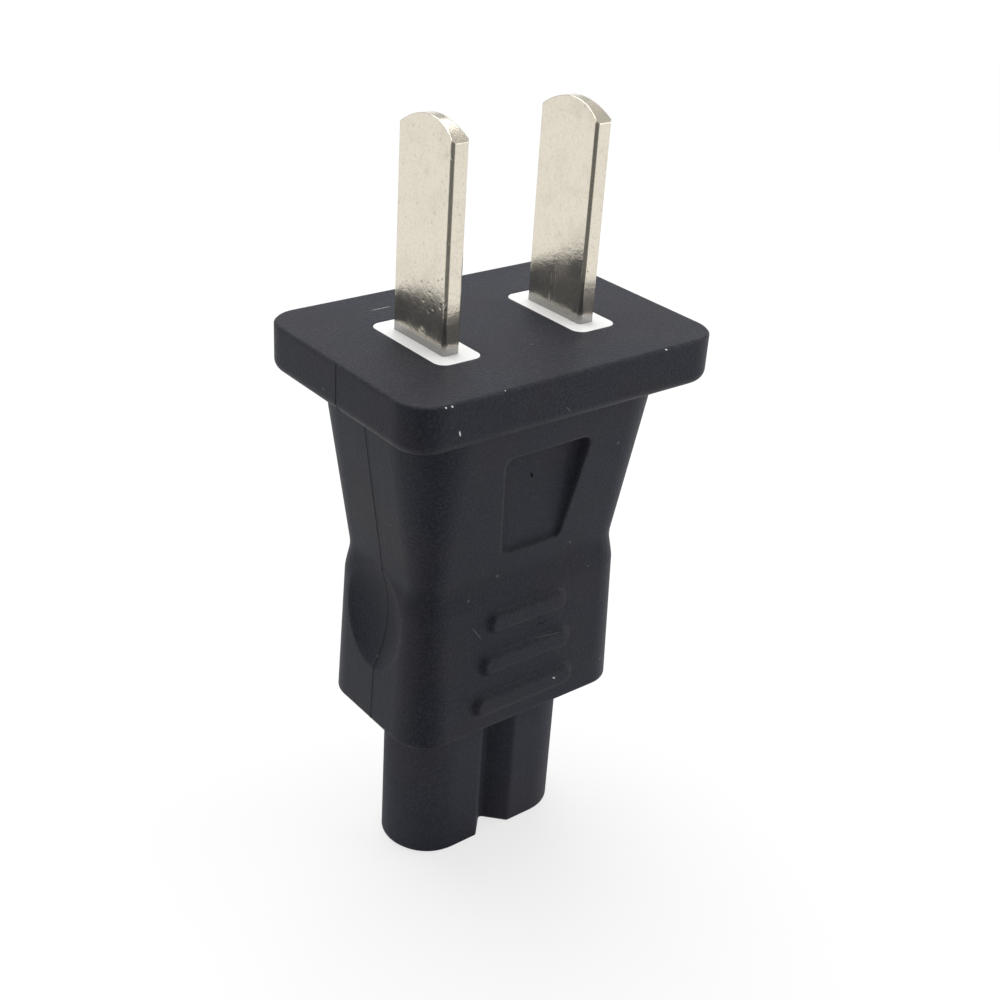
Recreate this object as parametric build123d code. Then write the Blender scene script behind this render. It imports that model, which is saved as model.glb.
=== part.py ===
from build123d import *
import os

# Plug adapter: two flat blades on top, a figure-8 appliance connector below, one moulded body between.
# Sizes are in millimetres. The origin is the centre of the connector's end face, which it stands on.
# +Z runs up towards the blades, X from blade to blade, and -Y is the front.

# Heights of the stacked forms, from the end face up
nose_length = 14.0
grip_length = 28.2
flange_thickness = 3.8
blade_reach = 16.4

# Flange round the blades
flange_length = 28.5
flange_width = 20.1
flange_corner = 2.7
flange_top_bevel = 0.15
flange_foot_round = 0.9

# Grip: a block that spreads a little towards its foot, a shoulder that draws in to the waist, and a flare
# that opens out to the flange. The block's length, width and corner are those at the shoulder.
block_length = 20.5
block_width = 12.3
block_corner = 2.6
block_spread = 0.42
block_foot_bevel = 0.3
waist_height = 13.8
waist_inset = 0.42
shoulder_drop = 2.0
grip_bend_round = 3.0
flare_reach = 2.2

# Label recess, a trapezoid that is deeper at its top, on the front and the back
recess_top_length = 7.7
recess_foot_length = 5.6
recess_height = 8.7
recess_top_gap = 3.5
recess_top_depth = 1.05
recess_foot_depth = 0.3
recess_corner = 0.5
recess_draft = 15.0

# Grip ribs, longer towards the foot, on the front and the back
rib_count = 3
rib_top_length = 8.1
rib_length_step = 1.15
rib_pitch = 3.7
rib_height = 2.1
rib_end_round = 1.0
rib_lift = 0.45
rib_draft = 45.0
lowest_rib_height = 2.6

# Thumb scoops in the two ends of the grip
scoop_width = 7.2
scoop_height = 9.4
scoop_depth = 1.1
scoop_middle_height = 10.1

# Figure-8 nose, with a vee in each long side
socket_spacing = 8.6
lobe_radius = 3.87
vee_depth = 1.87
vee_half_width = 1.75
vee_round = 0.35
nose_end_bevel = 0.25

# Root that locks the connector core into the moulding
core_neck_height = 1.2
core_flange_height = 1.8
core_flange_lip = 0.8
core_flange_corner = 2.0

# Pin sockets: spring sleeves behind a wider plastic mouth
pin_radius = 1.18
pin_clearance = 0.02
sleeve_wall = 0.35
sleeve_length = 11.0
sleeve_slit = 0.5
mouth_depth = 1.6
mouth_clearance = 0.27
mouth_bevel = 0.3
tongue_width = 1.6

# Crimp barrels and the short insulated leads between them
conductor_radius = 0.65
barrel_wall = 0.5
barrel_length = 3.5
barrel_gap = 0.4
insulation_wall = 0.5
bare_end_gap = 0.2

# Blades
blade_spacing = 12.7
blade_width = 6.35
blade_thickness = 1.5
blade_bevel = 0.22
tip_rise = 1.25
tip_thickness = 0.8
blade_tail_width = 3.2
blade_tail_height = 1.5

# White carrier: a bridge with one collar round each blade
collar_length = 3.9
collar_width = 9.1
collar_corner = 0.9
collar_height = 4.5
bridge_height = 3.0

# Levels and sizes that follow from the values above
grip_foot = nose_length
waist_level = grip_foot + waist_height
shoulder_level = waist_level - shoulder_drop
flange_foot = grip_foot + grip_length
flange_top = flange_foot + flange_thickness
blade_tip = flange_top + blade_reach
carrier_foot = flange_top - collar_height - bridge_height
core_top = nose_length + core_neck_height + core_flange_height
sleeve_inner = pin_radius + pin_clearance
sleeve_outer = sleeve_inner + sleeve_wall
sleeve_top = mouth_depth + sleeve_length
barrel_radius = conductor_radius + barrel_wall
insulation_radius = conductor_radius + insulation_wall
contact_barrel_foot = max(core_top, sleeve_top) + barrel_gap
contact_barrel_top = contact_barrel_foot + barrel_length
blade_barrel_top = carrier_foot - blade_tail_height
blade_barrel_foot = blade_barrel_top - barrel_length
SIDES = {"left": -1, "right": 1}


def block(length, width, corner, foot, height):
    """Upright block with rounded corners, standing at a level."""
    return extrude(Plane.XY.offset(foot) * RectangleRounded(length, width, corner), height)


def upright_cylinder(radius, foot, top):
    """Cylinder on the Z axis between two levels."""
    return extrude(Plane.XY.offset(foot) * Circle(radius), top - foot)


def upright_tube(outer, inner, foot, top):
    """Tube on the Z axis between two levels."""
    return extrude(Plane.XY.offset(foot) * (Circle(outer) - Circle(inner)), top - foot)


def middle(low, high):
    """Value halfway between two others."""
    return (low + high) / 2


def block_face(half_size, level):
    """Distance of a block face from the Z axis at a level, from that at the shoulder."""
    return half_size + block_spread * (shoulder_level - level) / (shoulder_level - grip_foot)


def flare_face(half_size, level):
    """Distance of a flare face from the Z axis at a level, from that of the block face at the shoulder."""
    return half_size - waist_inset + flare_reach * (level - waist_level) / (flange_foot - waist_level)


def grip_outline(half_size):
    """Half side view of the grip, from the distance of its block face from the Z axis at the shoulder."""
    foot = block_face(half_size, grip_foot)
    outline = Polyline(
        (0, grip_foot),
        (foot - block_foot_bevel, grip_foot),
        (foot, grip_foot + block_foot_bevel),
        (half_size, shoulder_level),
        (half_size - waist_inset, waist_level),
        (flare_face(half_size, flange_foot), flange_foot),
        (0, flange_foot),
        close=True,
    )
    bends = outline.vertices().filter_by_position(Axis.Y, shoulder_level, waist_level)
    return make_face(fillet(bends, grip_bend_round))


def grip_form():
    """Grip without its features: straight sides, and corners turned about the block's corner centres."""
    corner_x = block_length / 2 - block_corner
    corner_y = block_width / 2 - block_corner
    end = extrude(Plane.XZ * grip_outline(block_length / 2), -corner_y)
    front = extrude(Plane.YZ * grip_outline(block_width / 2), corner_x)
    corner = revolve(Plane.XZ * grip_outline(block_corner), Axis.Z, 90)
    quarter = end + front + Pos(corner_x, corner_y) * corner
    half = quarter + mirror(quarter, Plane.YZ)
    return half + mirror(half, Plane.XZ)


def flange_form():
    """Flange that meets the wall socket."""
    form = block(flange_length, flange_width, flange_corner, flange_foot, flange_thickness)
    form = chamfer(form.faces().sort_by(Axis.Z)[-1].edges(), flange_top_bevel)
    return fillet(form.faces().sort_by(Axis.Z)[0].edges(), flange_foot_round)


def label_recess():
    """Cutter for the front's trapezoid recess, whose floor leans out less than the flare."""
    top = flange_foot - recess_top_gap
    foot = top - recess_height
    foot_reach = flare_face(block_width / 2, foot) - recess_foot_depth
    lean = flare_face(block_width / 2, top) - recess_top_depth - foot_reach
    outline = Polyline(
        (-recess_top_length / 2, recess_height),
        (recess_top_length / 2, recess_height),
        (recess_foot_length / 2, 0),
        (-recess_foot_length / 2, 0),
        close=True,
    )
    floor = Plane(origin=(0, -foot_reach, foot), x_dir=(1, 0, 0), z_dir=(0, -recess_height, -lean))
    floor_shape = fillet(make_face(outline).vertices(), recess_corner)
    return extrude(floor * floor_shape, flange_width / 2 - foot_reach, taper=-recess_draft)


def grip_rib(index):
    """One raised rib of the front, counted from the foot."""
    level = grip_foot + lowest_rib_height + index * rib_pitch
    length = rib_top_length + (rib_count - 1 - index) * rib_length_step
    place = (0, -block_face(block_width / 2, level), level)
    outward = (0, grip_foot - shoulder_level, block_spread)
    face = Plane(origin=place, x_dir=(1, 0, 0), z_dir=outward)
    outline = RectangleRounded(length, rib_height, rib_end_round)
    return extrude(face * outline, rib_lift, taper=rib_draft)


def cap_radius(width, depth):
    """Radius of the arc that spans a width and is this deep at its middle."""
    return (width ** 2 / 4 + depth ** 2) / (2 * depth)


def thumb_scoop():
    """Cutter for the left end's oval scoop: the rim of a ring that stands on edge."""
    rim_radius = cap_radius(scoop_width, scoop_depth)
    wheel_radius = cap_radius(scoop_height, scoop_depth)
    level = grip_foot + scoop_middle_height
    centre = scoop_depth - block_face(block_length / 2, level) - wheel_radius
    return Pos(centre, 0, level) * Rot(90, 0, 0) * Torus(wheel_radius - rim_radius, rim_radius)


def nose_profile():
    """Figure-8 outline: a round lobe on each pin socket, flat sides and a vee in each side."""
    outline = SlotCenterToCenter(socket_spacing, 2 * lobe_radius)
    for side in SIDES.values():
        tip = side * (lobe_radius - vee_depth)
        mouth = tip + side * 2 * vee_depth
        reach = 2 * vee_half_width
        outline -= make_face(Polyline((0, tip), (reach, mouth), (-reach, mouth), close=True))
    margin = vee_half_width + vee_round
    corners = outline.vertices().filter_by_position(Axis.X, -margin, margin)
    return fillet(corners, vee_round)


def core_form():
    """Connector core without its sockets: the nose, and the root inside the grip."""
    nose = extrude(nose_profile(), core_top)
    nose = chamfer(nose.faces().sort_by(Axis.Z)[0].edges(), nose_end_bevel)
    lip_length = socket_spacing + 2 * lobe_radius + 2 * core_flange_lip
    lip_width = 2 * lobe_radius + 2 * core_flange_lip
    lip = block(lip_length, lip_width, core_flange_corner, core_top - core_flange_height, core_flange_height)
    return nose + lip


def socket_cut():
    """Room for one sleeve behind its mouth, on the Z axis."""
    mouth_radius = pin_radius + mouth_clearance
    mouth = upright_cylinder(mouth_radius, 0, mouth_depth)
    rim = Pos(0, 0, mouth_bevel / 2) * Cone(mouth_radius + mouth_bevel, mouth_radius, mouth_bevel)
    seat = upright_cylinder(sleeve_outer, mouth_depth, core_top)
    return mouth + rim + seat


def connector_core():
    """Hard core of the appliance connector, with its two pin sockets."""
    core = core_form()
    for side in SIDES.values():
        core -= Pos(side * socket_spacing / 2, 0) * socket_cut()
    return core


def contact_sleeve():
    """Slit spring sleeve, its tongue and its crimp barrel, rolled from one strip, on the Z axis."""
    sleeve = upright_tube(sleeve_outer, sleeve_inner, mouth_depth, sleeve_top)
    slit = Pos(0, sleeve_outer, middle(mouth_depth, sleeve_top))
    sleeve -= slit * Box(sleeve_slit, 2 * sleeve_outer, sleeve_length)
    tongue = upright_tube(sleeve_outer, conductor_radius, sleeve_top, contact_barrel_foot)
    strip = Pos(0, -sleeve_outer, middle(sleeve_top, contact_barrel_foot))
    tongue &= strip * Box(tongue_width, 2 * sleeve_outer, contact_barrel_foot - sleeve_top)
    barrel = upright_tube(barrel_radius, conductor_radius, contact_barrel_foot, contact_barrel_top)
    return sleeve + tongue + barrel


def blade_bar():
    """Flat blade with an arched, tapered tip, on the Z axis."""
    shoulder = blade_tip - tip_rise
    section = Plane.XY.offset(carrier_foot) * Rectangle(blade_thickness, blade_width)
    bar = extrude(section, blade_tip - carrier_foot)
    bar = chamfer(bar.edges().filter_by(Axis.Z), blade_bevel)
    arch_radius = cap_radius(blade_width, tip_rise)
    corners = Pos(0, shoulder + tip_rise) * Rectangle(2 * blade_width, 2 * tip_rise)
    corners -= Pos(0, blade_tip - arch_radius) * Circle(arch_radius)
    bar -= extrude(Plane.YZ * corners, blade_thickness, both=True)
    for side in SIDES.values():
        edge = side * blade_thickness / 2
        tip_edge = side * tip_thickness / 2
        taper = Polyline((edge, shoulder), (tip_edge, blade_tip), (2 * edge, blade_tip), close=True)
        bar -= extrude(Plane.XZ * make_face(taper), blade_width, both=True)
    return bar


def blade_tail(side, radius):
    """Foot that leads in from the blade to above the socket, with a crimp barrel of this bore under it."""
    outer_end = blade_spacing / 2 + blade_thickness / 2
    inner_end = socket_spacing / 2 - barrel_radius
    place = Pos(side * middle(inner_end, outer_end), 0, carrier_foot - blade_tail_height / 2)
    foot = place * Box(outer_end - inner_end, blade_tail_width, blade_tail_height)
    barrel = upright_cylinder(barrel_radius, blade_barrel_foot, blade_barrel_top)
    if radius > 0:
        barrel -= upright_cylinder(radius, blade_barrel_foot, blade_barrel_top)
    return foot + Pos(side * socket_spacing / 2, 0) * barrel


def blade(side):
    """One blade with its tail and its crimp barrel."""
    return Pos(side * blade_spacing / 2, 0) * blade_bar() + blade_tail(side, conductor_radius)


def blade_carrier():
    """White bridge that holds both blades, with a collar round each, flush with the flange."""
    bridge_length = blade_spacing + collar_length
    carrier = block(bridge_length, collar_width, collar_corner, carrier_foot, bridge_height)
    collar = block(collar_length, collar_width, collar_corner, flange_top - collar_height, collar_height)
    for side in SIDES.values():
        place = Pos(side * blade_spacing / 2, 0)
        carrier = carrier + place * collar - place * blade_bar()
    return carrier


def lead_conductor():
    """Copper strand pack, bare in both crimp barrels, on the Z axis."""
    return upright_cylinder(conductor_radius, contact_barrel_foot, blade_barrel_top - bare_end_gap)


def lead_insulation():
    """Insulation between the two crimp barrels, on the Z axis."""
    return upright_tube(insulation_radius, conductor_radius, contact_barrel_top, blade_barrel_foot)


def inner_room(side):
    """What one side's contact, lead and blade tail take out of the moulding."""
    room = upright_cylinder(sleeve_outer, mouth_depth, contact_barrel_foot)
    room += upright_cylinder(barrel_radius, contact_barrel_foot, contact_barrel_top)
    room += upright_cylinder(insulation_radius, contact_barrel_top, blade_barrel_foot)
    return Pos(side * socket_spacing / 2, 0) * room + blade_tail(side, 0)


def moulded_body():
    """Soft outer moulding: flange and grip, cast round the core, the carrier and the leads."""
    body = grip_form() + flange_form()
    recess = label_recess()
    body = body - recess - mirror(recess, Plane.XZ)
    for index in range(rib_count):
        rib = grip_rib(index)
        body = body + rib + mirror(rib, Plane.XZ)
    scoop = thumb_scoop()
    body = body - scoop - mirror(scoop, Plane.YZ)
    body = body - core_form() - blade_carrier()
    for side in SIDES.values():
        body = body - inner_room(side) - Pos(side * blade_spacing / 2, 0) * blade_bar()
    return body


def write(name, shape):
    """Save one piece of the adapter."""
    export_step(shape, f"parts/{name}.step")


os.makedirs("parts", exist_ok=True)
write("moulded_body", moulded_body())
write("blade_carrier", blade_carrier())
write("connector_core", connector_core())
for name, side in SIDES.items():
    at_socket = Pos(side * socket_spacing / 2, 0)
    write(f"blade_{name}", blade(side))
    write(f"contact_sleeve_{name}", at_socket * contact_sleeve())
    write(f"lead_conductor_{name}", at_socket * lead_conductor())
    write(f"lead_insulation_{name}", at_socket * lead_insulation())
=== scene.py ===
"""Looks of a moulded plug adapter: flat blades over a black flange and grip, a figure-8 connector below.

Lengths are in metres unless a name ends in _mm. +Z runs up to the blades, X from blade to blade, and -Y is
the front. The adapter stands on the floor at Z = 0 on its connector's end face.

In a finish, a scale counts patterns per metre, a Span holds the two limits between which a pattern's value
takes effect, and a share is how much of the effect shows.
"""

import logging
import math
from dataclasses import dataclass
from enum import Enum

import bmesh
import bpy
from mathutils import Matrix, Vector
from mathutils.bvhtree import BVHTree


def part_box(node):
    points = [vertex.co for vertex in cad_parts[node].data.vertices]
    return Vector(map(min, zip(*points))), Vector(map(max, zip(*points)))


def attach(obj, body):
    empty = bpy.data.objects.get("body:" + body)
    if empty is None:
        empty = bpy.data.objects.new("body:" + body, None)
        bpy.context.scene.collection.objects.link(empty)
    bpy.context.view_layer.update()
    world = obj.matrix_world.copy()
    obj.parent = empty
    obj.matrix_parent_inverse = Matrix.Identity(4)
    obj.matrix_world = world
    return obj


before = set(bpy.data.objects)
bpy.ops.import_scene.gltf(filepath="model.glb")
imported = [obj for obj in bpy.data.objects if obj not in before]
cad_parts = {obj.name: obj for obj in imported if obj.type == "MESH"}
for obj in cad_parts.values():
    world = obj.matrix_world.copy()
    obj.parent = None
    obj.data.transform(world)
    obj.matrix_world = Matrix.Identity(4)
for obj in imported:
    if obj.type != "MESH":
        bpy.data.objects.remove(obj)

MM = 0.001
BODY = "root"
SIDE_NAMES = ("left", "right")
log = logging.getLogger("plug_adapter")

Colour = tuple[float, float, float]
Place = tuple[float, float, float]
Pixel = tuple[float, float]
Span = tuple[float, float]

WHITE: Colour = (1.0, 1.0, 1.0)

# The Mix node repeats its socket names for each kind of data, so its colour sockets go by number.
MIX_SHARE, MIX_FIRST, MIX_SECOND, MIX_RESULT = 0, 6, 7, 2


class Ground(Enum):
    """Coordinates that a pattern or a direction is read in."""

    OBJECT = "Object"
    WORLD = "Generated"


class MarkKind(Enum):
    """What a small mark on the moulding is."""

    LINT = "lint"
    SCUFF = "scuff"
    # Nicks are small raised marks coloured near black: painted shade standing for a dent.
    NICK_SHADE = "nick_shade"


class ShaderSheet:
    """Short way to place and join the nodes of one material or one node group."""

    def __init__(self, tree: bpy.types.NodeTree) -> None:
        """Args:
            tree: the node tree to fill.
        """
        self.tree = tree

    def add(self, kind: str, inputs: dict | None = None, **settings: object) -> bpy.types.Node:
        """Place one node.

        Args:
            kind: the node's type name.
            inputs: values or sockets by input name or number.
            settings: properties of the node.

        Returns:
            The new node.
        """
        node = self.tree.nodes.new(kind)
        for name, value in settings.items():
            setattr(node, name, value)
        for name, value in (inputs or {}).items():
            self.feed(node, name, value)
        return node

    def feed(self, node: bpy.types.Node, name: str | int, value: object) -> None:
        """Join a socket to one input, or set that input's value.

        Args:
            node: the node that takes the value.
            name: the input's name or number.
            value: a socket, a number or a vector.
        """
        if isinstance(value, bpy.types.NodeSocket):
            self.tree.links.new(value, node.inputs[name])
        elif isinstance(value, tuple) and len(value) == 3 and node.inputs[name].type == "RGBA":
            node.inputs[name].default_value = (*value, 1.0)
        else:
            node.inputs[name].default_value = value

    def place(self, ground: Ground = Ground.OBJECT) -> bpy.types.NodeSocket:
        """Coordinates of the surface, or the direction in which the world is seen.

        Args:
            ground: which coordinates are read.

        Returns:
            The vector's socket.
        """
        return self.add("ShaderNodeTexCoord").outputs[ground.value]

    def noise(self, vector: bpy.types.NodeSocket, scale: float | bpy.types.NodeSocket, detail: float,
              roughness: float = 0.5, distortion: float = 0.0) -> bpy.types.NodeSocket:
        """Soft noise between 0 and 1.

        Args:
            vector: where the pattern is read.
            scale: blobs per metre.
            detail: number of finer layers.
            roughness: strength of the finer layers.
            distortion: how far the pattern is bent.

        Returns:
            The value's socket.
        """
        inputs = {
            "Vector": vector,
            "Scale": scale,
            "Detail": detail,
            "Roughness": roughness,
            "Distortion": distortion,
        }
        return self.add("ShaderNodeTexNoise", inputs).outputs["Fac"]

    def cells(self, vector: bpy.types.NodeSocket, scale: float | bpy.types.NodeSocket,
              channel: int = 0) -> tuple[bpy.types.NodeSocket, bpy.types.NodeSocket]:
        """Scattered points, one in each cell.

        Args:
            vector: where the pattern is read.
            scale: cells per metre.
            channel: which of the cell's random numbers is read.

        Returns:
            The distance from the nearest point, and its cell's random number.
        """
        node = self.add("ShaderNodeTexVoronoi", {"Vector": vector, "Scale": scale})
        chance = self.add("ShaderNodeSeparateColor", {0: node.outputs["Color"]}).outputs[channel]
        return node.outputs["Distance"], chance

    def math(self, operation: str, first: object, second: object = 0.0,
             third: object = 0.0) -> bpy.types.NodeSocket:
        """One sum on values.

        Args:
            operation: the Math node's operation.
            first: the first value or socket.
            second: the second value or socket.
            third: the third value or socket, for operations that have one.

        Returns:
            The result's socket.
        """
        return self.add("ShaderNodeMath", {0: first, 1: second, 2: third}, operation=operation).outputs[0]

    def ramp(self, value: bpy.types.NodeSocket, span: Span | tuple[bpy.types.NodeSocket, float],
             result: Span = (0.0, 1.0)) -> bpy.types.NodeSocket:
        """Value eased from one span into another and held at its ends.

        Args:
            value: the value's socket.
            span: the two inputs that give the ends of the result.
            result: the two ends of the result.

        Returns:
            The result's socket.
        """
        inputs = {
            "Value": value,
            "From Min": span[0],
            "From Max": span[1],
            "To Min": result[0],
            "To Max": result[1],
        }
        return self.add("ShaderNodeMapRange", inputs, interpolation_type="SMOOTHSTEP").outputs["Result"]

    def mix(self, share: object, first: object, second: object) -> bpy.types.NodeSocket:
        """Colour between two others.

        Args:
            share: how much of the second colour shows, as a value or a socket.
            first: the first colour or socket.
            second: the second colour or socket.

        Returns:
            The colour's socket.
        """
        inputs = {MIX_SHARE: share, MIX_FIRST: first, MIX_SECOND: second}
        return self.add("ShaderNodeMix", inputs, data_type="RGBA").outputs[MIX_RESULT]

    def bump(self, height: object, strength: float, distance: float,
             normal: bpy.types.NodeSocket | None = None) -> bpy.types.NodeSocket:
        """Normal tilted by a height.

        Args:
            height: the height's socket.
            strength: share of the tilt that is kept.
            distance: height in metres that a value of 1 stands for.
            normal: normal to start from.

        Returns:
            The normal's socket.
        """
        inputs = {"Height": height, "Strength": strength, "Distance": distance}
        if normal is not None:
            inputs["Normal"] = normal
        return self.add("ShaderNodeBump", inputs).outputs["Normal"]

    def group(self, shared: bpy.types.NodeTree, **values: object) -> bpy.types.Node:
        """Place a shared node group with this material's values.

        Args:
            shared: the group's tree.
            values: inputs by name, with _ for a space.

        Returns:
            The group's node.
        """
        node = self.add("ShaderNodeGroup", node_tree=shared)
        for name, value in values.items():
            self.feed(node, name.replace("_", " "), value)
        return node


def new_group(
    name: str, inputs: dict[str, float], outputs: dict[str, str],
) -> tuple[ShaderSheet, bpy.types.Node]:
    """Start a shared node group with number inputs.

    Args:
        name: the group's name.
        inputs: default value of each input.
        outputs: kind of each output, as Float, Color or Vector.

    Returns:
        The sheet of the group and its input node.
    """
    tree = bpy.data.node_groups.new(name, "ShaderNodeTree")
    for label, value in inputs.items():
        socket = tree.interface.new_socket(name=label, in_out="INPUT", socket_type="NodeSocketFloat")
        socket.default_value = value
    for label, kind in outputs.items():
        tree.interface.new_socket(name=label, in_out="OUTPUT", socket_type=f"NodeSocket{kind}")
    sheet = ShaderSheet(tree)
    return sheet, sheet.add("NodeGroupInput")


@dataclass(frozen=True)
class Grain:
    """Spark-eroded grain of moulded plastic: fine pits, wider mottling and the two together as a height."""

    fine_detail: float = 3.0
    fine_roughness: float = 0.6
    wide_detail: float = 4.0
    wide_roughness: float = 0.55
    wide_distortion: float = 0.4

    def build(self) -> bpy.types.NodeTree:
        """Make the shared group.

        Returns:
            The group's tree.
        """
        sheet, given = new_group(
            "moulded grain",
            {"Fine Scale": 6000.0, "Wide Scale": 500.0, "Wide Share": 0.3},
            {"Height": "Float", "Fine": "Float", "Wide": "Float"},
        )
        place = sheet.place()
        fine = sheet.noise(place, given.outputs["Fine Scale"], self.fine_detail, self.fine_roughness)
        wide = sheet.noise(
            place, given.outputs["Wide Scale"], self.wide_detail, self.wide_roughness, self.wide_distortion,
        )
        height = sheet.math("MULTIPLY_ADD", wide, given.outputs["Wide Share"], fine)
        sheet.add("NodeGroupOutput", {"Height": height, "Fine": fine, "Wide": wide})
        return sheet.tree


@dataclass(frozen=True)
class EdgeWear:
    """Mask of the outer edges, from how far a rounded normal leans away from the true one."""

    samples: int = 4
    lean: Span = (0.999, 0.88)
    breakup_detail: float = 3.0
    breakup: Span = (0.35, 0.65)
    least_wear: float = 0.35

    def build(self) -> bpy.types.NodeTree:
        """Make the shared group.

        Returns:
            The group's tree.
        """
        sheet, given = new_group(
            "edge wear",
            {"Reach": 0.0003, "Breakup Scale": 1500.0},
            {"Mask": "Float", "Normal": "Vector"},
        )
        bevel = sheet.add("ShaderNodeBevel", {"Radius": given.outputs["Reach"]}, samples=self.samples)
        rounded = bevel.outputs["Normal"]
        true = sheet.add("ShaderNodeNewGeometry").outputs["Normal"]
        lean = sheet.add("ShaderNodeVectorMath", {0: rounded, 1: true}, operation="DOT_PRODUCT")
        edge = sheet.ramp(lean.outputs["Value"], self.lean)
        breakup = sheet.noise(sheet.place(), given.outputs["Breakup Scale"], self.breakup_detail)
        mask = sheet.math("MULTIPLY", edge, sheet.ramp(breakup, self.breakup, (self.least_wear, 1.0)))
        sheet.add("NodeGroupOutput", {"Mask": mask, "Normal": rounded})
        return sheet.tree


@dataclass(frozen=True)
class Dust:
    """Thin dust that settles on faces which look up, with a few brighter specks."""

    facing_up: Span = (0.2, 0.95)
    pattern_roughness: float = 0.6
    cloud_scale: float = 220.0
    cloud_detail: float = 5.0
    cloud: Span = (0.3, 0.75)
    thinnest: float = 0.35
    grain_detail: float = 3.0
    grain: Span = (0.40, 0.64)
    speck_rarity: float = 0.965
    speck_level: float = 0.4

    def build(self) -> bpy.types.NodeTree:
        """Make the shared group.

        Returns:
            The group's tree.
        """
        sheet, given = new_group(
            "settled dust",
            {"Film": 0.3, "Grain Scale": 5200.0, "Speck Scale": 900.0, "Speck Size": 0.1},
            {"Mask": "Float"},
        )
        normal = sheet.add("ShaderNodeNewGeometry").outputs["Normal"]
        up = sheet.ramp(sheet.add("ShaderNodeSeparateXYZ", {0: normal}).outputs["Z"], self.facing_up)
        place = sheet.place()
        cloud = sheet.noise(place, self.cloud_scale, self.cloud_detail, self.pattern_roughness)
        grain_scale = given.outputs["Grain Scale"]
        grains = sheet.noise(place, grain_scale, self.grain_detail, self.pattern_roughness)
        settled = sheet.math("MULTIPLY", up, sheet.ramp(cloud, self.cloud, (self.thinnest, 1.0)))
        settled = sheet.math("MULTIPLY", settled, sheet.ramp(grains, self.grain))
        film = sheet.math("MULTIPLY", settled, given.outputs["Film"])
        distance, chance = sheet.cells(place, given.outputs["Speck Scale"])
        near = sheet.math("LESS_THAN", distance, given.outputs["Speck Size"])
        speck = sheet.math("MULTIPLY", near, sheet.math("GREATER_THAN", chance, self.speck_rarity))
        mask = sheet.math("MAXIMUM", film, sheet.math("MULTIPLY", speck, self.speck_level))
        sheet.add("NodeGroupOutput", {"Mask": mask})
        return sheet.tree


@dataclass(frozen=True)
class HairScratches:
    """Hair scratches that run one way, broken into short lengths."""

    line_detail: float = 3.0
    line_roughness: float = 0.7
    cut: Span = (0.62, 0.74)
    patch_scale: float = 260.0
    patch_detail: float = 3.0
    patch_full: float = 0.75

    def build(self) -> bpy.types.NodeTree:
        """Make the shared group.

        Returns:
            The group's tree.
        """
        sheet, given = new_group(
            "hair scratches",
            {"Across Scale": 5000.0, "Along Scale": 120.0, "Cover": 0.5},
            {"Mask": "Float", "Height": "Float"},
        )
        where = sheet.place()
        across = given.outputs["Across Scale"]
        stretch = sheet.add("ShaderNodeCombineXYZ", {0: across, 1: across, 2: given.outputs["Along Scale"]})
        placed = sheet.add("ShaderNodeVectorMath", {0: where, 1: stretch.outputs[0]}, operation="MULTIPLY")
        lines = sheet.noise(
            placed.outputs[0], scale=1.0, detail=self.line_detail, roughness=self.line_roughness,
        )
        patches = sheet.noise(where, self.patch_scale, self.patch_detail)
        cover = sheet.ramp(patches, (given.outputs["Cover"], self.patch_full))
        mask = sheet.math("MULTIPLY", sheet.ramp(lines, self.cut), cover)
        sheet.add("NodeGroupOutput", {"Mask": mask, "Height": lines})
        return sheet.tree


@dataclass(frozen=True)
class SharedEffects:
    """Node groups that more than one finish uses."""

    grain: bpy.types.NodeTree
    edge: bpy.types.NodeTree
    dust: bpy.types.NodeTree
    scratch: bpy.types.NodeTree


def new_material(name: str) -> tuple[bpy.types.Material, ShaderSheet, bpy.types.Node]:
    """Start a material with an empty sheet and its Principled shader.

    Args:
        name: the material's name.

    Returns:
        The material, its sheet and the shader's node.
    """
    material = bpy.data.materials.new(name)
    material.use_nodes = True
    material.node_tree.nodes.clear()
    sheet = ShaderSheet(material.node_tree)
    shader = sheet.add("ShaderNodeBsdfPrincipled")
    sheet.add("ShaderNodeOutputMaterial", {"Surface": shader.outputs["BSDF"]})
    return material, sheet, shader


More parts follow.
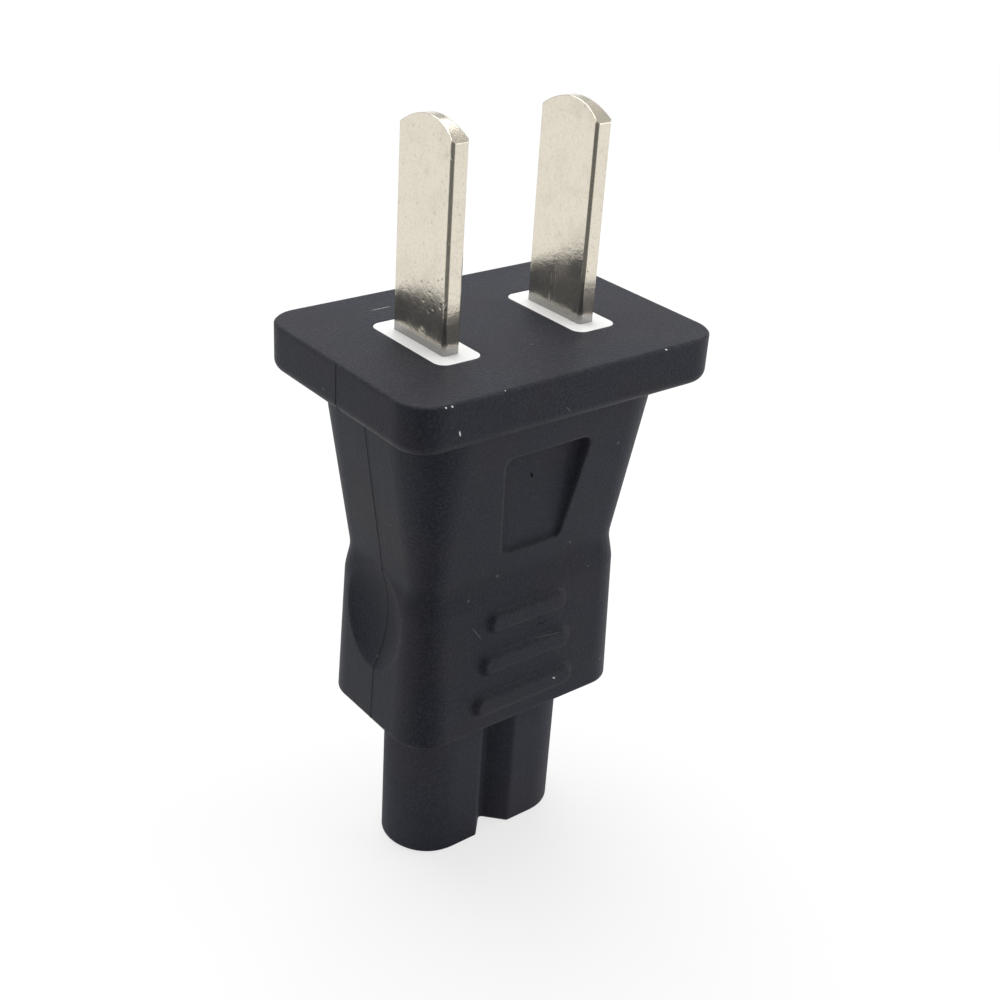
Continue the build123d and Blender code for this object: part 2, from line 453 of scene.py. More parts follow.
@dataclass(frozen=True)
class MouldedPlastic:
    """Soft black plastic with a fine grain, a drift of tint, dust on top and rubbed edges."""

    name: str
    colour: Colour
    drift_colour: Colour
    worn_colour: Colour
    dust_colour: Colour
    roughness: float
    specular: float
    grain_depth: float
    dust_film: float
    fine_scale: float = 5200.0
    wide_scale: float = 420.0
    wide_share: float = 0.25
    edge_reach: float = 0.00045
    edge_breakup: float = 1800.0
    edge_share: float = 0.35
    edge_polish: float = 0.1
    dust_scale: float = 4800.0
    speck_scale: float = 700.0
    speck_size: float = 0.09
    drift_scale: float = 130.0
    drift_detail: float = 3.0
    drift: Span = (0.35, 0.68)
    mottle: Span = (0.3, 0.7)
    mottle_share: float = 0.35
    mottle_level: float = 0.75
    fleck: Span = (0.42, 0.70)
    fleck_share: float = 0.45
    gloss: Span = (0.25, 0.75)
    smoother: float = 0.06
    rougher: float = 0.08
    bump_strength: float = 0.7

    def build(self, shared: SharedEffects) -> bpy.types.Material:
        """Make the material.

        Args:
            shared: the node groups that finishes share.

        Returns:
            The new material.
        """
        material, sheet, shader = new_material(self.name)
        grain = sheet.group(
            shared.grain, Fine_Scale=self.fine_scale, Wide_Scale=self.wide_scale,
            Wide_Share=self.wide_share,
        )
        edge = sheet.group(shared.edge, Reach=self.edge_reach, Breakup_Scale=self.edge_breakup)
        dust = sheet.group(
            shared.dust, Film=self.dust_film, Grain_Scale=self.dust_scale, Speck_Scale=self.speck_scale,
            Speck_Size=self.speck_size,
        )
        fine, worn = grain.outputs["Fine"], edge.outputs["Mask"]
        drift = sheet.ramp(sheet.noise(sheet.place(), self.drift_scale, self.drift_detail), self.drift)
        body = sheet.mix(drift, self.colour, self.drift_colour)
        deep = tuple(self.mottle_level * part for part in self.colour)
        mottle = sheet.ramp(grain.outputs["Wide"], self.mottle, (0.0, self.mottle_share))
        body = sheet.mix(mottle, body, deep)
        body = sheet.mix(sheet.ramp(fine, self.fleck, (0.0, self.fleck_share)), body, self.worn_colour)
        body = sheet.mix(sheet.math("MULTIPLY", worn, self.edge_share), body, self.worn_colour)
        body = sheet.mix(dust.outputs["Mask"], body, self.dust_colour)
        limits = (self.roughness - self.smoother, self.roughness + self.rougher)
        rough = sheet.ramp(fine, self.gloss, limits)
        rough = sheet.math("SUBTRACT", rough, sheet.math("MULTIPLY", worn, self.edge_polish))
        rounded = edge.outputs["Normal"]
        normal = sheet.bump(grain.outputs["Height"], self.bump_strength, self.grain_depth, rounded)
        sheet.feed(shader, "Base Color", body)
        sheet.feed(shader, "Roughness", rough)
        sheet.feed(shader, "Normal", normal)
        sheet.feed(shader, "Specular IOR Level", self.specular)
        return material


@dataclass(frozen=True)
class NickelPlate:
    """Bright nickel on a stamped blade: hair lines, pits, dings, speckle and, at its base, a duller band
    darkened as painted shade.
    """

    name: str
    colour: Colour
    stain_colour: Colour
    foot_shade_colour: Colour
    foot_level: float
    roughness: float
    scratch_across: float = 5200.0
    scratch_along: float = 180.0
    scratch_cover: float = 0.35
    scratch_roughness: float = 0.12
    scratch_height: float = -0.25
    edge_reach: float = 0.0001
    edge_breakup: float = 2500.0
    cloud_scale: float = 380.0
    cloud_detail: float = 4.0
    cloud_roughness: float = 0.6
    cloud_distortion: float = 0.6
    stain: Span = (0.48, 0.72)
    stain_share: float = 0.16
    gloss: Span = (0.35, 0.7)
    rougher: float = 0.1
    pit_scale: float = 1300.0
    pit: Span = (0.22, 0.05)
    pit_rarity: float = 0.6
    pit_share: float = 0.5
    pit_height: float = -0.6
    ding_scale: float = 410.0
    ding: Span = (0.24, 0.08)
    ding_channel: int = 1
    ding_rarity: float = 0.74
    ding_share: float = 0.4
    ding_height: float = 1.2
    chip_scale: float = 5200.0
    chip_detail: float = 2.0
    chip: Span = (0.42, 0.60)
    speckle_scale: float = 4200.0
    speckle_detail: float = 3.0
    speckle_roughness: float = 0.65
    speckle: Span = (0.46, 0.72)
    speckle_share: float = 0.28
    # Band just above the moulding: duller, and darker as painted shade where the blade meets the flange.
    foot_top: float = 0.0010
    foot_full: float = 0.0004
    foot_shade_share: float = 0.85
    foot_roughness: float = 0.15
    dent_scale: float = 1800.0
    dent_detail: float = 4.0
    dent_roughness: float = 0.75
    dent_depth: float = 0.000018
    bump_strength: float = 0.8

    def build(self, shared: SharedEffects) -> bpy.types.Material:
        """Make the material.

        Args:
            shared: the node groups that finishes share.

        Returns:
            The new material.
        """
        material, sheet, shader = new_material(self.name)
        scratch = sheet.group(
            shared.scratch, Across_Scale=self.scratch_across, Along_Scale=self.scratch_along,
            Cover=self.scratch_cover,
        ).outputs["Mask"]
        edge = sheet.group(shared.edge, Reach=self.edge_reach, Breakup_Scale=self.edge_breakup)
        place = sheet.place()
        cloud = sheet.noise(
            place, self.cloud_scale, self.cloud_detail, self.cloud_roughness, self.cloud_distortion,
        )
        distance, chance = sheet.cells(place, self.pit_scale)
        rare = sheet.math("GREATER_THAN", chance, self.pit_rarity)
        pit = sheet.math("MULTIPLY", sheet.ramp(distance, self.pit), rare)
        distance, chance = sheet.cells(place, self.ding_scale, self.ding_channel)
        rare = sheet.math("GREATER_THAN", chance, self.ding_rarity)
        ding = sheet.math("MULTIPLY", sheet.ramp(distance, self.ding), rare)
        chips = sheet.ramp(sheet.noise(place, self.chip_scale, self.chip_detail), self.chip)
        ding = sheet.math("MULTIPLY", ding, chips)
        level = sheet.add("ShaderNodeSeparateXYZ", {0: place}).outputs["Z"]
        band = (self.foot_level + self.foot_top, self.foot_level + self.foot_full)
        foot_shade_and_dulling = sheet.ramp(level, band, (0.0, self.foot_shade_share))
        speckle = sheet.noise(place, self.speckle_scale, self.speckle_detail, self.speckle_roughness)
        speckle = sheet.ramp(speckle, self.speckle, (0.0, self.speckle_share))
        stain = sheet.ramp(cloud, self.stain, (0.0, self.stain_share))
        body = sheet.mix(stain, self.colour, self.stain_colour)
        body = sheet.mix(sheet.math("MULTIPLY", ding, self.ding_share), body, self.stain_colour)
        body = sheet.mix(speckle, body, self.stain_colour)
        # Painted shade: the blade darkens to grey just above the moulding, where it meets the flange.
        body = sheet.mix(foot_shade_and_dulling, body, self.foot_shade_colour)
        body = sheet.mix(sheet.math("MULTIPLY", pit, self.pit_share), body, self.stain_colour)
        rough = sheet.ramp(cloud, self.gloss, (self.roughness, self.roughness + self.rougher))
        rough = sheet.math("ADD", rough, sheet.math("MULTIPLY", scratch, self.scratch_roughness))
        rough = sheet.math("MULTIPLY_ADD", foot_shade_and_dulling, self.foot_roughness, rough)
        height = sheet.noise(place, self.dent_scale, self.dent_detail, self.dent_roughness)
        height = sheet.math("MULTIPLY_ADD", scratch, self.scratch_height, height)
        height = sheet.math("MULTIPLY_ADD", pit, self.pit_height, height)
        height = sheet.math("MULTIPLY_ADD", ding, self.ding_height, height)
        normal = sheet.bump(height, self.bump_strength, self.dent_depth, edge.outputs["Normal"])
        sheet.feed(shader, "Base Color", body)
        sheet.feed(shader, "Roughness", rough)
        sheet.feed(shader, "Normal", normal)
        sheet.feed(shader, "Metallic", 1.0)
        return material


@dataclass(frozen=True)
class GlossWhitePlastic:
    """Hard white plastic, faintly wavy, with a little grime in patches."""

    name: str
    colour: Colour
    grime_colour: Colour
    roughness: float
    fine_scale: float = 3000.0
    wide_scale: float = 300.0
    wide_share: float = 0.6
    grime: Span = (0.5, 0.8)
    grime_share: float = 0.25
    gloss: Span = (0.3, 0.7)
    rougher: float = 0.1
    grain_depth: float = 0.00001
    bump_strength: float = 0.3

    def build(self, shared: SharedEffects) -> bpy.types.Material:
        """Make the material.

        Args:
            shared: the node groups that finishes share.

        Returns:
            The new material.
        """
        material, sheet, shader = new_material(self.name)
        grain = sheet.group(
            shared.grain, Fine_Scale=self.fine_scale, Wide_Scale=self.wide_scale,
            Wide_Share=self.wide_share,
        )
        grime = sheet.ramp(grain.outputs["Wide"], self.grime, (0.0, self.grime_share))
        limits = (self.roughness, self.roughness + self.rougher)
        rough = sheet.ramp(grain.outputs["Fine"], self.gloss, limits)
        normal = sheet.bump(grain.outputs["Height"], self.bump_strength, self.grain_depth)
        sheet.feed(shader, "Base Color", sheet.mix(grime, self.colour, self.grime_colour))
        sheet.feed(shader, "Roughness", rough)
        sheet.feed(shader, "Normal", normal)
        return material


@dataclass(frozen=True)
class BareMetal:
    """Uncoated strip metal or wire, drawn along its length."""

    name: str
    colour: Colour
    tarnish_colour: Colour
    roughness: float
    scratch_across: float = 9000.0
    scratch_along: float = 300.0
    scratch_cover: float = 0.3
    scratch_roughness: float = 0.15
    cloud_scale: float = 900.0
    cloud_detail: float = 4.0
    tarnish: Span = (0.45, 0.75)
    tarnish_share: float = 0.6
    scratch_depth: float = 0.00001
    bump_strength: float = 0.3

    def build(self, shared: SharedEffects) -> bpy.types.Material:
        """Make the material.

        Args:
            shared: the node groups that finishes share.

        Returns:
            The new material.
        """
        material, sheet, shader = new_material(self.name)
        scratch = sheet.group(
            shared.scratch, Across_Scale=self.scratch_across, Along_Scale=self.scratch_along,
            Cover=self.scratch_cover,
        )
        cloud = sheet.noise(sheet.place(), self.cloud_scale, self.cloud_detail)
        tarnish = sheet.ramp(cloud, self.tarnish, (0.0, self.tarnish_share))
        rough = sheet.math("MULTIPLY_ADD", scratch.outputs["Mask"], self.scratch_roughness, self.roughness)
        normal = sheet.bump(scratch.outputs["Height"], self.bump_strength, self.scratch_depth)
        sheet.feed(shader, "Base Color", sheet.mix(tarnish, self.colour, self.tarnish_colour))
        sheet.feed(shader, "Roughness", rough)
        sheet.feed(shader, "Normal", normal)
        sheet.feed(shader, "Metallic", 1.0)
        return material


@dataclass(frozen=True)
class SpeckFinish:
    """Pale fibre, rubbed plastic, or the painted shade inside nicks, on a small mark."""

    name: str
    colour: Colour
    shade_colour: Colour
    specular: float
    roughness: float = 0.85
    fibre_scale: float = 20000.0
    fibre_detail: float = 2.0
    fibre: Span = (0.35, 0.7)

    def build(self) -> bpy.types.Material:
        """Make the material.

        Returns:
            The new material.
        """
        material, sheet, shader = new_material(self.name)
        fibre = sheet.ramp(sheet.noise(sheet.place(), self.fibre_scale, self.fibre_detail), self.fibre)
        sheet.feed(shader, "Base Color", sheet.mix(fibre, self.colour, self.shade_colour))
        sheet.feed(shader, "Roughness", self.roughness)
        sheet.feed(shader, "Specular IOR Level", self.specular)
        return material


@dataclass(frozen=True)
class Camera:
    """Camera whose place and lens were worked out from the photograph, 1000 pixels each way."""

    azimuth: float = -39.774
    elevation: float = 28.106
    roll: float = 3.919
    distance_mm: float = 110.397
    focal_pixels: float = 1474.5
    shift_right_mm: float = -0.380
    shift_up_mm: float = 13.135
    target_height_mm: float = 46.0
    picture_pixels: float = 1000.0
    sensor_mm: float = 36.0

    def axes(self) -> tuple[Vector, Vector, Vector]:
        """Directions of the picture's right, its top and back to the viewer.

        Returns:
            The three directions.
        """
        turn, tilt, roll = (math.radians(angle) for angle in (self.azimuth, self.elevation, self.roll))
        back = Vector((math.sin(turn) * math.cos(tilt), -math.cos(turn) * math.cos(tilt), math.sin(tilt)))
        right = Vector((math.cos(turn), math.sin(turn), 0.0))
        up = back.cross(right)
        return (
            right * math.cos(roll) + up * math.sin(roll),
            up * math.cos(roll) - right * math.sin(roll),
            back,
        )

    def place(self) -> Vector:
        """Where the camera stands."""
        right, up, back = self.axes()
        stand = back * self.distance_mm - right * self.shift_right_mm - up * self.shift_up_mm
        return (stand + Vector((0.0, 0.0, self.target_height_mm))) * MM

    def ray(self, pixel: Pixel) -> Vector:
        """Direction in which a pixel of the picture looks.

        Args:
            pixel: the pixel, from the picture's top left.

        Returns:
            The direction, one long.
        """
        right, up, back = self.axes()
        middle = self.picture_pixels / 2
        aside = (pixel[0] - middle) / self.focal_pixels
        above = (middle - pixel[1]) / self.focal_pixels
        return (right * aside + up * above - back).normalized()

    def build(self) -> bpy.types.Object:
        """Make the camera and look through it.

        Returns:
            The camera's object.
        """
        data = bpy.data.cameras.new("camera")
        data.sensor_width = self.sensor_mm
        data.lens = self.focal_pixels / self.picture_pixels * self.sensor_mm
        data.clip_start = MM
        camera = bpy.data.objects.new("camera", data)
        right, up, back = self.axes()
        turned = Matrix((right, up, back)).transposed().to_4x4()
        camera.matrix_world = Matrix.Translation(self.place()) @ turned
        bpy.context.scene.collection.objects.link(camera)
        bpy.context.scene.camera = camera
        return camera


@dataclass
class Lamp:
    """One square soft lamp that points at the adapter."""

    name: str
    place: Place
    size: float
    watts: float

    def build(self, aim: Vector) -> bpy.types.Object:
        """Make the lamp.

        Args:
            aim: the point it faces.

        Returns:
            The lamp's object.
        """
        data = bpy.data.lights.new(self.name, "AREA")
        data.size = self.size
        data.energy = self.watts
        lamp = bpy.data.objects.new(self.name, data)
        lamp.location = self.place
        lamp.rotation_euler = (aim - lamp.location).to_track_quat("-Z", "Y").to_euler()
        bpy.context.scene.collection.objects.link(lamp)
        return lamp


@dataclass
class Studio:
    """White floor, soft lamps, bright surroundings with one dim side, and the camera."""

    floor_half: float = 1.5
    floor_cells: int = 8
    floor_colour: Colour = (0.9, 0.9, 0.9)
    floor_shade: Colour = (0.86, 0.86, 0.86)
    floor_roughness: float = 0.9
    floor_specular: float = 0.1
    floor_glow: float = 0.72
    fibre_scale: float = 60.0
    fibre_detail: float = 4.0
    fibre: Span = (0.3, 0.7)
    fibre_share: float = 0.02
    fade: Span = (0.06, 0.40)
    sky_strength: float = 0.42
    sky_reflection: float = 0.58
    sky_fade: Span = (0.12, 0.42)
    dim_side: Place = (-0.64, -0.77, 0.0)
    dim_level: float = 0.17
    dim: Span = (0.80, 0.97)
    level_only: Place = (1.0, 1.0, 0.0)
    aim_height: float = 0.032
    camera: Camera = Camera()

    def lamps(self) -> list[Lamp]:
        """The lamps of the studio."""
        return [
            Lamp("overhead_lamp", place=(0.05, 0.20, 0.60), size=0.60, watts=3.9),
            Lamp("right_lamp", place=(0.40, -0.25, 0.20), size=0.40, watts=0.9),
        ]

    def looks(self, sheet: ShaderSheet) -> tuple[bpy.types.NodeSocket, bpy.types.NodeSocket]:
        """Who looks at the floor or at the surroundings.

        Args:
            sheet: sheet of the floor or of the world.

        Returns:
            The sockets that are 1 for the camera, also through glass, and 1 for a reflection.
        """
        seen = sheet.add("ShaderNodeLightPath")
        direct = sheet.math("MAXIMUM", seen.outputs["Is Camera Ray"], seen.outputs["Is Transmission Ray"])
        return direct, seen.outputs["Is Glossy Ray"]

    def reflected_level(self, sheet: ShaderSheet, ground: Ground) -> bpy.types.NodeSocket:
        """How bright the surroundings are in a reflection, white but for the dim side at the front left.

        Args:
            sheet: sheet of the floor or of the world.
            ground: the coordinates that give the direction from the adapter.

        Returns:
            The level's socket.
        """
        where = sheet.place(ground)
        level = sheet.add("ShaderNodeVectorMath", {0: where, 1: self.level_only}, operation="MULTIPLY")
        heading = sheet.add("ShaderNodeVectorMath", {0: level.outputs[0]}, operation="NORMALIZE")
        inputs = {0: heading.outputs[0], 1: self.dim_side}
        toward = sheet.add("ShaderNodeVectorMath", inputs, operation="DOT_PRODUCT")
        return sheet.ramp(toward.outputs["Value"], self.dim, (1.0, self.dim_level))

    def floor_paper(self) -> bpy.types.Material:
        """Make the floor's finish, which glows to the camera and in reflections so that it comes out white.

        Seen directly it keeps the adapter's shadow close by, and fades to plain white further out.

        Returns:
            The new material.
        """
        material, sheet, shader = new_material("floor_paper")
        place = sheet.place()
        fibre = sheet.noise(place, self.fibre_scale, self.fibre_detail)
        share = sheet.ramp(fibre, self.fibre, (0.0, self.fibre_share))
        sheet.feed(shader, "Base Color", sheet.mix(share, self.floor_colour, self.floor_shade))
        sheet.feed(shader, "Roughness", self.floor_roughness)
        sheet.feed(shader, "Specular IOR Level", self.floor_specular)
        direct, reflection = self.looks(sheet)
        level = sheet.mix(reflection, WHITE, self.reflected_level(sheet, Ground.OBJECT))
        glow = sheet.add("ShaderNodeEmission", {"Color": WHITE, "Strength": level})
        away = sheet.add("ShaderNodeVectorMath", {0: place}, operation="LENGTH").outputs["Value"]
        paler = sheet.ramp(away, self.fade, (self.floor_glow, 1.0))
        share = sheet.math("MAXIMUM", sheet.math("MULTIPLY", direct, paler), reflection)
        inputs = {0: share, 1: shader.outputs["BSDF"], 2: glow.outputs["Emission"]}
        blend = sheet.add("ShaderNodeMixShader", inputs)
        out = next(node for node in material.node_tree.nodes if node.type == "OUTPUT_MATERIAL")
        sheet.feed(out, "Surface", blend.outputs[0])
        return material

    def floor(self) -> bpy.types.Object:
        """Make the floor.

        Returns:
            The floor's object.
        """
        mesh = bpy.data.meshes.new("floor")
        flat = bmesh.new()
        cells = self.floor_cells
        bmesh.ops.create_grid(flat, x_segments=cells, y_segments=cells, size=self.floor_half)
        flat.to_mesh(mesh)
        flat.free()
        floor = bpy.data.objects.new("floor", mesh)
        bpy.context.scene.collection.objects.link(floor)
        mesh.materials.append(self.floor_paper())
        return floor

    def surroundings(self) -> None:
        """Light the scene evenly, with white past the floor and a greyer sky overhead in reflections."""
        world = bpy.data.worlds.new("surroundings")
        world.use_nodes = True
        world.node_tree.nodes.clear()
        sheet = ShaderSheet(world.node_tree)
        direct, reflection = self.looks(sheet)
        height = sheet.add("ShaderNodeSeparateXYZ", {0: sheet.place(Ground.WORLD)}).outputs["Z"]
        overhead = sheet.ramp(height, self.sky_fade, (1.0, self.sky_reflection))
        level = sheet.math("MULTIPLY", self.reflected_level(sheet, Ground.WORLD), overhead)
        reflected = sheet.math("MULTIPLY", reflection, level)
        lit = sheet.math("MULTIPLY", sheet.math("SUBTRACT", 1.0, reflection), self.sky_strength)
        strength = sheet.math("MAXIMUM", direct, sheet.math("ADD", reflected, lit))
        light = sheet.add("ShaderNodeBackground", {"Color": WHITE, "Strength": strength})
        sheet.add("ShaderNodeOutputWorld", {"Surface": light.outputs[0]})
        bpy.context.scene.world = world

    def build(self) -> None:
        """Make the floor, the lamps, the surroundings and the camera."""
        self.floor()
        self.surroundings()
        aim = Vector((0.0, 0.0, self.aim_height))
        for lamp in self.lamps():
            lamp.build(aim)
        self.camera.build()
        bpy.context.scene.view_settings.view_transform = "Standard"


def dress(node: str, material: bpy.types.Material) -> None:
    """Give a CAD node its finish.

    Args:
        node: the node's name.
        material: the finish.
    """
    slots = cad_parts[node].data.materials
    slots.clear()
    slots.append(material)
    log.info("%s: dressed in %s", node, material.name)


def add_piece(
    name: str, shape: bmesh.types.BMesh, material: bpy.types.Material,
) -> bpy.types.Object:
    """Turn a finished bmesh into a piece of the adapter.

    Args:
        name: the piece's name.
        shape: its geometry, in place.
        material: its finish.

    Returns:
        The piece's object.
    """
    mesh = bpy.data.meshes.new(name)
    shape.to_mesh(mesh)
    shape.free()
    mesh.materials.append(material)
    piece = bpy.data.objects.new(name, mesh)
    bpy.context.scene.collection.objects.link(piece)
    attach(piece, BODY)
    log.info("%s: %d faces", name, len(mesh.polygons))
    return piece


@dataclass(frozen=True)
class Mark:
    """A small mark, from one pixel of the photograph to another, lying on the moulding."""

    kind: MarkKind
    start: Pixel
    end: Pixel
    width: float
    height: float


@dataclass
class Moulding:
    """Black flange and grip, with its mould seam and the small marks that the photograph shows on it."""

    seam_offset: float = -0.00035
    seam_half_width: float = 0.00007
    seam_height: float = 0.00003
    seam_sink: float = 0.00002
    seam_least_reach: float = 0.0090
    seam_top_margin: float = 0.00005
    level_normal: float = 0.1
    merge_distance: float = 1e-6
    cut_tolerance: float = 1e-7
    mark_rounds: int = 2
    slot: str = "moulding"

    def marks(self) -> list[Mark]:
        """Marks by their pixels in the photograph."""
        lint, scuff, nick_shade = MarkKind.LINT, MarkKind.SCUFF, MarkKind.NICK_SHADE
        return [
            Mark(lint, (445.0, 407.5), (447.0, 408.5), 0.00014, 0.00003),
            Mark(lint, (451.0, 406.5), (453.5, 407.0), 0.00016, 0.00004),
            Mark(lint, (504.0, 388.5), (505.5, 392.0), 0.00014, 0.00004),
            Mark(lint, (459.5, 431.0), (460.5, 436.5), 0.00013, 0.00003),
            Mark(scuff, (566.5, 407.0), (571.0, 412.0), 0.00007, 0.00002),
            Mark(scuff, (587.0, 565.5), (589.0, 566.5), 0.00012, 0.00003),
            Mark(lint, (552.5, 677.5), (555.0, 678.0), 0.00013, 0.00003),
            Mark(lint, (665.0, 349.5), (667.5, 350.0), 0.00013, 0.00003),
            Mark(scuff, (389.0, 524.0), (391.0, 526.0), 0.00013, 0.00002),
            Mark(lint, (371.0, 310.5), (390.5, 306.5), 0.00005, 0.00002),
            Mark(scuff, (472.0, 628.0), (482.0, 640.0), 0.00007, 0.00002),
            Mark(scuff, (535.0, 638.0), (560.0, 632.0), 0.00008, 0.00003),
            Mark(nick_shade, (544.0, 615.0), (536.0, 633.0), 0.00009, 0.00002),
            Mark(nick_shade, (531.0, 472.5), (532.5, 477.5), 0.00019, 0.00002),
        ]

    def seam(self, material: bpy.types.Material) -> bpy.types.Object:
        """Fine ridge where the two halves of the mould met, down both ends of the grip and the flange.

        Args:
            material: its finish.

        Returns:
            The seam's object.
        """
        shape = bmesh.new()
        shape.from_mesh(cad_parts["moulded_body"].data)
        bmesh.ops.remove_doubles(shape, verts=shape.verts, dist=self.merge_distance)
        everything = list(shape.verts) + list(shape.edges) + list(shape.faces)
        bmesh.ops.bisect_plane(
            shape, geom=everything, dist=self.cut_tolerance, plane_co=(0, self.seam_offset, 0),
            plane_no=(0, 1, 0), clear_inner=True, clear_outer=True,
        )
        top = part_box("moulded_body")[1].z - self.seam_top_margin
        inner = [vert for vert in shape.verts if abs(vert.co.x) < self.seam_least_reach or vert.co.z > top]
        bmesh.ops.delete(shape, geom=inner, context="VERTS")
        crest = list(shape.edges)
        for aside in (self.seam_half_width, -self.seam_half_width):
            grown = bmesh.ops.extrude_edge_only(shape, edges=crest)["geom"]
            hem = [part for part in grown if isinstance(part, bmesh.types.BMVert)]
            bmesh.ops.translate(shape, verts=hem, vec=(0, aside, 0))
        bmesh.ops.recalc_face_normals(shape, faces=shape.faces)
        shape.normal_update()
        for vert in shape.verts:
            faces_out = vert.normal.x * vert.co.x > 0 or abs(vert.normal.x) < self.level_normal
            outward = vert.normal if faces_out else -vert.normal
            on_crest = abs(vert.co.y - self.seam_offset) < self.seam_half_width / 2
            lift = self.seam_height if on_crest else -self.seam_sink
            vert.co += outward * lift
        return add_piece("mould_seam", shape, material)

    def mark_shape(self, mark: Mark, hits: BVHTree, camera: Camera, shape: bmesh.types.BMesh) -> None:
        """Lay one mark on the surface that its pixels see.

        Args:
            mark: the mark.
            hits: tree of the moulding's faces.
            camera: the camera whose pixels place it.
            shape: the bmesh that it joins.
        """
        eye = camera.place()
        start, facing, _, _ = hits.ray_cast(eye, camera.ray(mark.start))
        end, _, _, _ = hits.ray_cast(eye, camera.ray(mark.end))
        if start is None or end is None:
            return
        along = end - start
        half_length = max(along.length / 2, mark.width / 2)
        along = (along - facing * along.dot(facing)).normalized()
        turned = Matrix((along, facing.cross(along), facing)).transposed().to_4x4()
        size = Matrix.Diagonal((half_length, mark.width / 2, mark.height, 1.0))
        place = Matrix.Translation((start + end) / 2) @ turned @ size
        bmesh.ops.create_icosphere(shape, subdivisions=self.mark_rounds, radius=1.0, matrix=place)

    def small_marks(self, camera: Camera, finishes: dict[MarkKind, bpy.types.Material]) -> None:
        """Make one piece of each kind of mark.

        Args:
            camera: the camera whose pixels place them.
            finishes: finish of each kind.
        """
        solid = bmesh.new()
        solid.from_mesh(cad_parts["moulded_body"].data)
        hits = BVHTree.FromBMesh(solid)
        for kind, material in finishes.items():
            shape = bmesh.new()
            for mark in self.marks():
                if mark.kind is kind:
                    self.mark_shape(mark, hits, camera, shape)
            add_piece(f"{kind.value}_marks", shape, material)
        solid.free()

    def build(self, shared: SharedEffects, camera: Camera) -> None:
        """Dress the moulding and add its seam and marks.

        Args:
            shared: the node groups that finishes share.
            camera: the camera whose pixels place the marks.
        """
        plastic = MouldedPlastic(
            name="black_moulding",
            colour=(0.0118, 0.0156, 0.0262),
            drift_colour=(0.0168, 0.0162, 0.0240),
            worn_colour=(0.042, 0.043, 0.050),
            dust_colour=(0.16, 0.155, 0.165),
            roughness=0.50,
            specular=0.15,
            grain_depth=0.00008,
            dust_film=0.13,
        )
        # The seam's finish is darker than the moulding's: painted shade along the line where the mould
        # halves met.
        seam = MouldedPlastic(
            name="seam_painted_shade",
            colour=(0.006, 0.0065, 0.008),
            drift_colour=(0.007, 0.007, 0.008),
            worn_colour=(0.012, 0.012, 0.014),
            dust_colour=(0.10, 0.10, 0.11),
            roughness=0.60,
            specular=0.15,
            grain_depth=0.00001,
            dust_film=0.0,
        )
        lint = SpeckFinish(
            "pale_lint", colour=(0.75, 0.75, 0.74), shade_colour=(0.45, 0.45, 0.45), specular=0.3,
        )
        scuff = SpeckFinish(
            "rubbed_plastic", colour=(0.105, 0.11, 0.122), shade_colour=(0.06, 0.065, 0.073), specular=0.3,
        )
        # Near-black painted shade standing for the shade inside nicks in the moulding.
        nick_shade = SpeckFinish(
            "shaded_nick", colour=(0.002, 0.002, 0.003), shade_colour=(0.005, 0.005, 0.006), specular=0.02,
        )
        dress("moulded_body", plastic.build(shared))
        self.seam(seam.build(shared))
        finishes = {
            MarkKind.LINT: lint.build(),
            MarkKind.SCUFF: scuff.build(),
            MarkKind.NICK_SHADE: nick_shade.build(),
        }
        self.small_marks(camera, finishes)


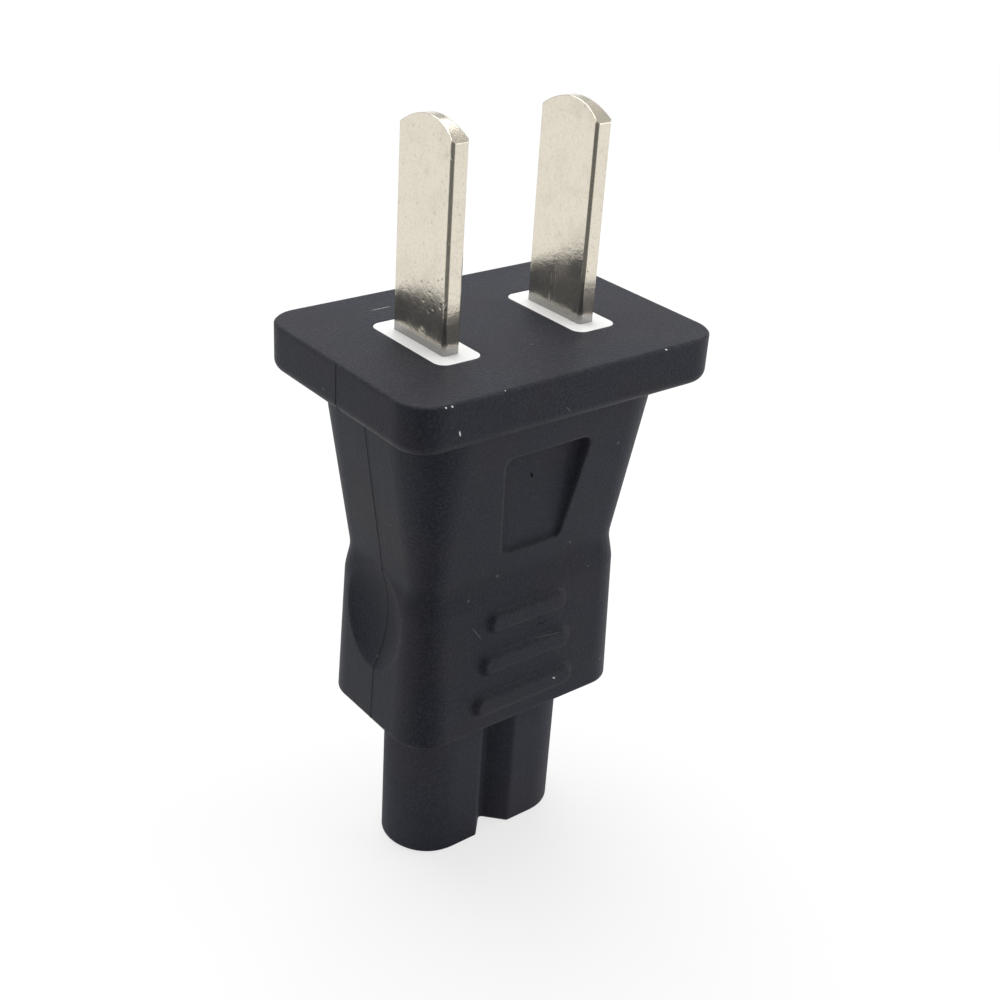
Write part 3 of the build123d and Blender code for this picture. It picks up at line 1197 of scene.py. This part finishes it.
@dataclass
class Connector:
    """Figure-8 nose with its two contact sleeves."""

    def build(self, shared: SharedEffects) -> None:
        """Dress the core and the sleeves.

        Args:
            shared: the node groups that finishes share.
        """
        core = MouldedPlastic(
            name="black_core",
            colour=(0.0300, 0.0335, 0.0465),
            drift_colour=(0.0360, 0.0345, 0.0450),
            worn_colour=(0.062, 0.062, 0.068),
            dust_colour=(0.16, 0.155, 0.165),
            roughness=0.60,
            specular=0.07,
            grain_depth=0.00006,
            dust_film=0.10,
        )
        sleeve = BareMetal(
            "spring_bronze", colour=(0.80, 0.60, 0.32), tarnish_colour=(0.42, 0.28, 0.14), roughness=0.28,
        )
        dress("connector_core", core.build(shared))
        bronze = sleeve.build(shared)
        for side in SIDE_NAMES:
            dress(f"contact_sleeve_{side}", bronze)


@dataclass
class BladeSet:
    """Two nickel-plated blades in their white carrier."""

    def build(self, shared: SharedEffects) -> None:
        """Dress the blades and the carrier.

        Args:
            shared: the node groups that finishes share.
        """
        nickel = NickelPlate(
            name="bright_nickel",
            colour=(0.765, 0.71, 0.60),
            stain_colour=(0.50, 0.45, 0.36),
            # Grey painted shade for the blade just above the moulding.
            foot_shade_colour=(0.27, 0.27, 0.27),
            foot_level=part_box("moulded_body")[1].z,
            roughness=0.13,
        ).build(shared)
        white = GlossWhitePlastic(
            "white_carrier", colour=(0.92, 0.92, 0.92), grime_colour=(0.74, 0.74, 0.74), roughness=0.28,
        ).build(shared)
        for side in SIDE_NAMES:
            dress(f"blade_{side}", nickel)
        dress("blade_carrier", white)


@dataclass
class LeadSet:
    """Short crimped leads inside the moulding."""

    def build(self, shared: SharedEffects) -> None:
        """Dress the strands and their insulation.

        Args:
            shared: the node groups that finishes share.
        """
        copper = BareMetal(
            "copper_strand", colour=(0.88, 0.48, 0.28), tarnish_colour=(0.50, 0.24, 0.12), roughness=0.32,
        ).build(shared)
        jacket = MouldedPlastic(
            name="lead_jacket",
            colour=(0.05, 0.05, 0.055),
            drift_colour=(0.055, 0.052, 0.052),
            worn_colour=(0.09, 0.09, 0.095),
            dust_colour=(0.20, 0.20, 0.20),
            roughness=0.45,
            specular=0.4,
            grain_depth=0.00001,
            dust_film=0.0,
        ).build(shared)
        for side in SIDE_NAMES:
            dress(f"lead_conductor_{side}", copper)
            dress(f"lead_insulation_{side}", jacket)


def main() -> None:
    """Dress the adapter and set up the studio."""
    logging.basicConfig(level=logging.INFO, format="%(message)s")
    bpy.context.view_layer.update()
    shared = SharedEffects(Grain().build(), EdgeWear().build(), Dust().build(), HairScratches().build())
    studio = Studio()
    studio.build()
    Moulding().build(shared, studio.camera)
    Connector().build(shared)
    BladeSet().build(shared)
    LeadSet().build(shared)
    log.info("sizes written")


if __name__ == "__main__":
    main()
